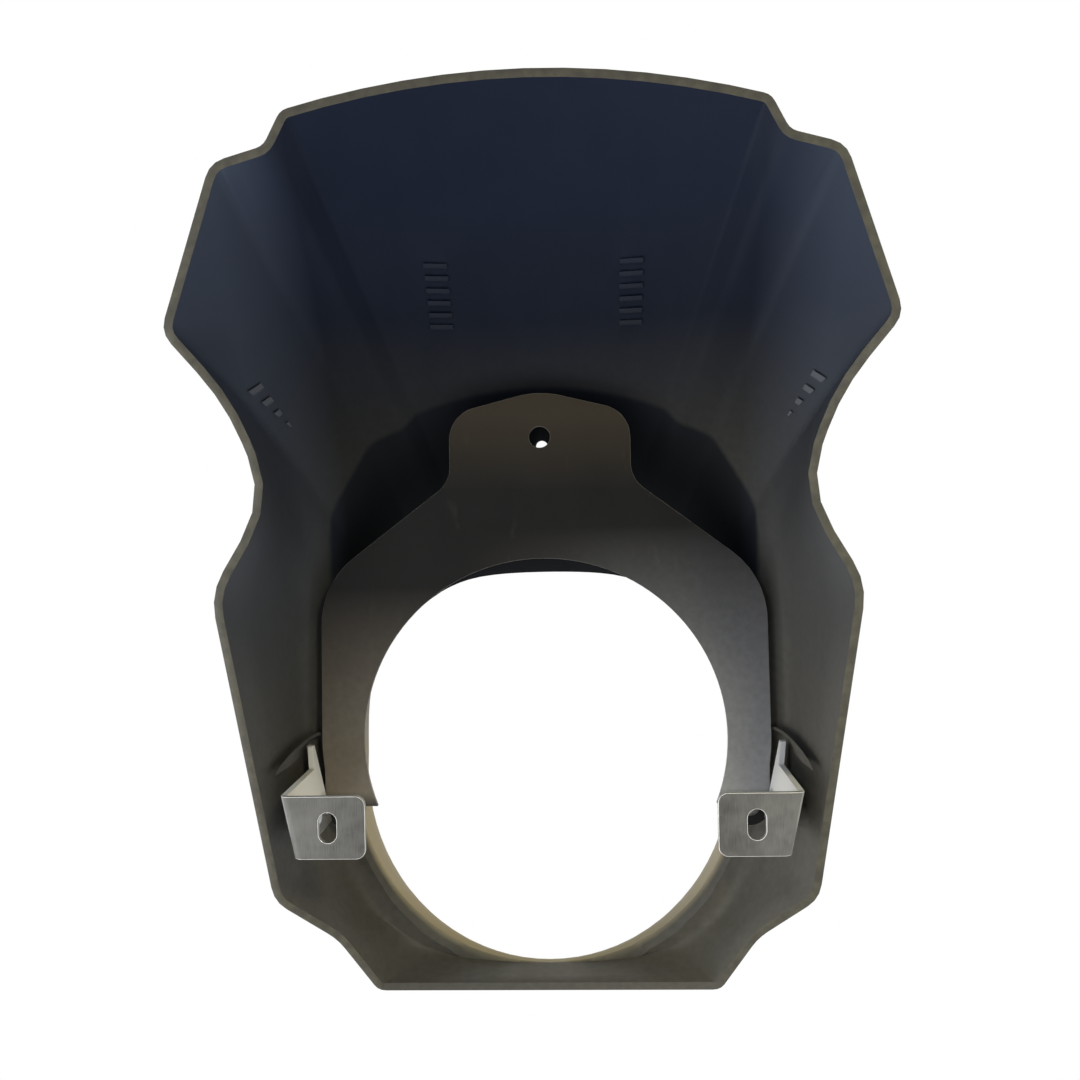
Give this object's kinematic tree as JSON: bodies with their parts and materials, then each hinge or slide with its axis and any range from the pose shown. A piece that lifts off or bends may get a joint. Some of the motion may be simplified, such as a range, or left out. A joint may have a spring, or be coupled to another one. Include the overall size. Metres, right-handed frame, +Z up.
{
  "type": "headlight cowl",
  "caption": "Black moulded headlight cowl with a flared top, a ring plate across its round lamp opening and two slotted metal brackets.",
  "frame": {"origin": "centre of the ring plate's round opening, on the plate's rear face", "axes": "+X to the rider's right, +Y forward along the lamp's axis, +Z up"},
  "size_m": [0.243, 0.133, 0.334],
  "materials": {
    "shell_plastic": "fine moulded grain",
    "plate_paint": "satin black",
    "bracket_metal": "bare",
    "screw_zinc": "zinc plated"
  },
  "bodies": {
    "root": {"cowl_shell": "shell_plastic", "ring_plate": "plate_paint", "left_bracket": "bracket_metal", "right_bracket": "bracket_metal", "left_bracket_screw_1": "screw_zinc", "left_bracket_screw_2": "screw_zinc", "right_bracket_screw_1": "screw_zinc", "right_bracket_screw_2": "screw_zinc", "left_plate_screw": "screw_zinc", "right_plate_screw": "screw_zinc"}
  },
  "joints": []
}
